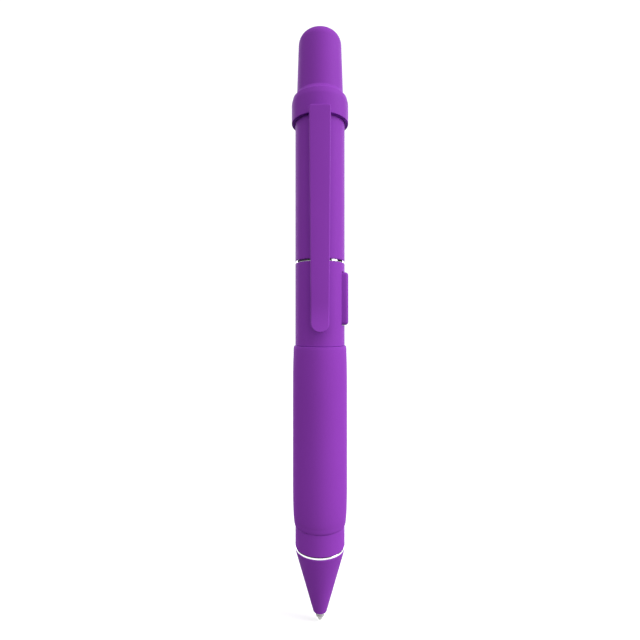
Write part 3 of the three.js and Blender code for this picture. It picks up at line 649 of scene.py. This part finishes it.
def build_point():
    """A turned tip: the ball's socket, a cone, a grooved shank, a collar and a stem for the tube."""
    socket_r = 0.265
    ink_hole_r = 0.12
    bore_r = 0.5
    shank_r = 1.0
    groove_r = 0.93
    collar_r = 1.175
    stem_r = 0.85
    point = lathe("refill_tip_skin", rounded([
        (0.235, 0.15, 0),
        (0.27, 0.15, 0.02),
        (0.62, 0.72, 0.03),
        (0.95, 1.2, 0.08),
        (shank_r, 1.32, 0.04),
        (shank_r, 1.58, 0.03),
        (groove_r, 1.64, 0.03),
        (groove_r, 1.78, 0.03),
        (shank_r, 1.84, 0.03),
        (shank_r, 9.5, 0.03),
        (collar_r, 9.7, 0.03),
        (collar_r, 11.95, 0.03),
        (stem_r, 11.95, 0),
        (stem_r, 14.95, 0),
        (bore_r, 14.95, 0),
        (bore_r, 1.25, 0),
        (ink_hole_r, 1.05, 0),
        (ink_hole_r, 0.515, 0),
        (socket_r, 0.515, 0),
        (socket_r, 0.25, 0),
    ], 3), around=SMALL_AROUND)
    finished(point, "refill", "refill_metal", point_metal, "refill_tip")


def build_ball():
    ball_r = 0.25
    profile = [(0, 0.0)] + arc(0, ball_r, ball_r, ball_r, -80, 80, 14) + [(0, 2 * ball_r)]
    ball = lathe("writing_ball_skin", profile, around=32, closed=False, sharp=60)
    finished(ball, "ball", "refill_metal", ball_metal, "writing_ball")


# ---- Side button ----

def button_outline(inset):
    """The button's cross-section, drawn in by inset all round: flat face, round shoulders, straight sides."""
    outer = BUTTON_FACE - inset
    half = BUTTON_HALF - inset
    crown = 0.05
    round_r = 0.75
    slope = 0.75
    inner = [(3.35, -half), (4.4, -half), (5.5, -half)]
    right = arc(outer - crown - round_r, -half + round_r, round_r, round_r, -90, -8, 6)
    face = [(outer, -half + round_r + slope), (outer, 0), (outer, half - round_r - slope)]
    left = arc(outer - crown - round_r, half - round_r, round_r, round_r, 8, 90, 6)
    return inner + right + face + left + [(x, -y) for x, y in reversed(inner)]


def build_button():
    """The button's body, and inside the barrel the curved flange that keeps it in its window."""
    bm = bmesh.new()
    levels = fillet_levels(BUTTON_BOTTOM, BUTTON_TOP, 0.75)
    stack(bm, [[(x, y, z) for x, y in button_outline(inset)] for inset, z in levels])
    flange_r = 4.48
    flange_bore_r = 3.87
    bevel = 0.06
    flange = []
    for z, edge in (
        (FLANGE_BOTTOM + 0.02, bevel), (FLANGE_BOTTOM + 0.1, 0.0),
        (FLANGE_TOP - 0.1, 0.0), (FLANGE_TOP - 0.02, bevel),
    ):
        outside = arc(0, 0, flange_r - edge, flange_r - edge, -52, 52, 16)
        inside = arc(0, 0, flange_bore_r + edge, flange_bore_r + edge, 66, -66, 16)
        flange.append([(x, y, z) for x, y in outside + inside])
    stack(bm, flange)
    finished(made("side_button_skin", bm, 38), "button", "button", button_skin, "side_button")


# ---- Clip ----

def clip_outline():
    """Right-hand outline points (half width, z) from the top middle round to the bottom middle."""
    end_z = CLIP_BOTTOM + CLIP_END_R
    corner_z = CLIP_TOP - CLIP_CORNER
    top = [(0, CLIP_TOP), (0.9, CLIP_TOP), (1.5, CLIP_TOP)]
    top += arc(CLIP_HALF - CLIP_CORNER, corner_z, CLIP_CORNER, CLIP_CORNER, 90, 0, 8)
    lean = math.degrees(math.atan2(CLIP_HALF - CLIP_END_R, corner_z - end_z))
    end = arc(0, end_z, CLIP_END_R, CLIP_END_R, -lean, -90, 20)
    start = Vector(top[-1])
    finish = Vector(end[0])
    count = 64
    sides = [tuple(start.lerp(finish, i / count)) for i in range(1, count)]
    return top + sides + end


def inset_points(points, distance):
    """The right-hand outline moved inwards, its first and last points kept on the middle line."""
    moved = []
    for i, point in enumerate(points):
        before = Vector(points[i - 1]) if i else Vector((-points[1][0], points[1][1]))
        after = Vector(points[i + 1]) if i < len(points) - 1 else Vector((-points[-2][0], points[-2][1]))
        along = (after - before).normalized()
        inwards = Vector((along.y, -along.x))
        shifted = Vector(point) + inwards * distance
        moved.append((max(0.0, shifted.x) if 0 < i < len(points) - 1 else 0.0, shifted.y))
    return moved


def flare_at(z):
    """How far the clip's lower end has curved away from the barrel at a height."""
    t = max(0.0, (CLIP_BOTTOM + CLIP_FLARE_LENGTH - z) / CLIP_FLARE_LENGTH)
    return CLIP_FLARE * min(1.0, t) ** 2


def bump_at(z):
    """The round ridge on the clip's back that holds the cloth."""
    height = 0.86
    half_length = 1.55
    middle = CLIP_BOTTOM + CLIP_FLARE_LENGTH + 1.6
    t = abs(z - middle) / half_length
    return height * math.cos(t * math.pi / 2) ** 1.4 if t < 1 else 0.0


def build_blade():
    """The clip's blade: rounded front and back edges, the flare and the ridge, and a face at each side."""
    outline = clip_outline()
    edge = 0.27
    steps = 5
    turns = [math.pi / 2 * k / steps for k in range(steps + 1)]
    front = [(edge * (1 - math.cos(a)), CLIP_FRONT + edge * (1 - math.sin(a)), 0) for a in reversed(turns)]
    back = [(edge * (1 - math.cos(a)), CLIP_BACK - edge * (1 - math.sin(a)), 1) for a in turns]
    loops = []
    for inset, y, is_back in front + back:
        right = inset_points(outline, inset)
        points = right + [(-x, z) for x, z in right[-2:0:-1]]
        share = is_back * min(1.0, inset / edge)
        loops.append([(x, y - flare_at(z) + bump_at(z) * share, z) for x, z in points])
    bm = bmesh.new()
    rows = stack(bm, loops, close=False)
    for row in (rows[0], rows[-1]):
        for k in range(len(outline) - 1):
            left_a = row[-k % len(row)]
            left_b = row[-(k + 1) % len(row)]
            quad = list(dict.fromkeys([row[k], row[k + 1], left_b, left_a]))
            if len(quad) > 2:
                bm.faces.new(quad)
    return made("clip_skin", bm, 45)


def build_foot():
    """The clip's foot, a round-edged block from the clip's back to the barrel, with a swept root."""
    bm = bmesh.new()
    edge = 0.4
    half = 1.7
    height = 3.8
    top = COLLAR_BOTTOM - 0.2
    loops = []
    for y, grow in (
        (-BARREL_R - 0.1, 0.0), (CLIP_BACK + 0.8, 0.0), (CLIP_BACK + 0.4, 0.04),
        (CLIP_BACK + 0.15, 0.14), (CLIP_BACK - 0.1, 0.32), (CLIP_BACK - 0.2, 0.32),
    ):
        x = half + grow - edge
        low = top - height - grow + edge
        high = top - edge
        corners = arc(x, high, edge, edge, 0, 90, 5) + arc(-x, high, edge, edge, 90, 180, 5)
        corners += arc(-x, low, edge, edge, 180, 270, 5) + arc(x, low, edge, edge, 270, 360, 5)
        loops.append([(across, y, z) for across, z in corners])
    stack(bm, loops)
    return made("foot", bm, 45)


def build_clip():
    clip = joined(build_blade(), build_foot())
    clip.data.set_sharp_from_angle(angle=math.radians(45))
    finished(clip, "clip", "clip", clip_skin, "clip")


# ---- Inner pieces ----

def dress_inner_pieces():
    """Pieces that keep their CAD shape and take a material."""
    inner = {
        "spring_seat": brass,
        "mechanism_housing": acetal,
        "catch_spring": spring_steel,
        "plunger_guide": acetal,
        "thrust_tube": drawn_aluminium,
        "catch_rod": brass,
        "retaining_ring": spring_steel,
        "refill_tube": tube_metal,
        "ink_column": ink_skin,
        "clip_rivet": spring_steel,
    }
    for name, material in inner.items():
        for place in nodes[name].material_slots:
            place.material = material


def build_spring():
    """The return spring as a round wire, its end turns closer together."""
    wire_r = 0.22
    coil_r = 1.98
    turns = 10
    per_turn = 36
    sides = 12
    bottom = SEAT_TOP + wire_r + 0.02
    top = SPRING_TOP - wire_r - 0.02
    count = per_turn * turns
    section = [math.tau * k / sides for k in range(sides)]
    loops = []
    for i in range(count + 1):
        t = i / count
        eased = 0.65 * t + 0.35 * (t * t * (3 - 2 * t))
        a = math.tau * turns * t
        middle = Vector((coil_r * math.cos(a), coil_r * math.sin(a), bottom + (top - bottom) * eased))
        out = Vector((math.cos(a), math.sin(a), 0))
        loops.append([middle + out * wire_r * math.cos(b) + Vector((0, 0, wire_r * math.sin(b)))
                      for b in section])
    bm = bmesh.new()
    stack(bm, loops)
    finished(made("return_spring_skin", bm, 60), "barrel", "spring_steel", spring_steel, "return_spring")


build_cap()
build_collar()
build_upper_barrel()
build_lower_barrel()
build_grip()
build_centre_ring()
build_nose_ring()
build_nose()
build_point()
build_ball()
build_button()
build_clip()
dress_inner_pieces()
build_spring()
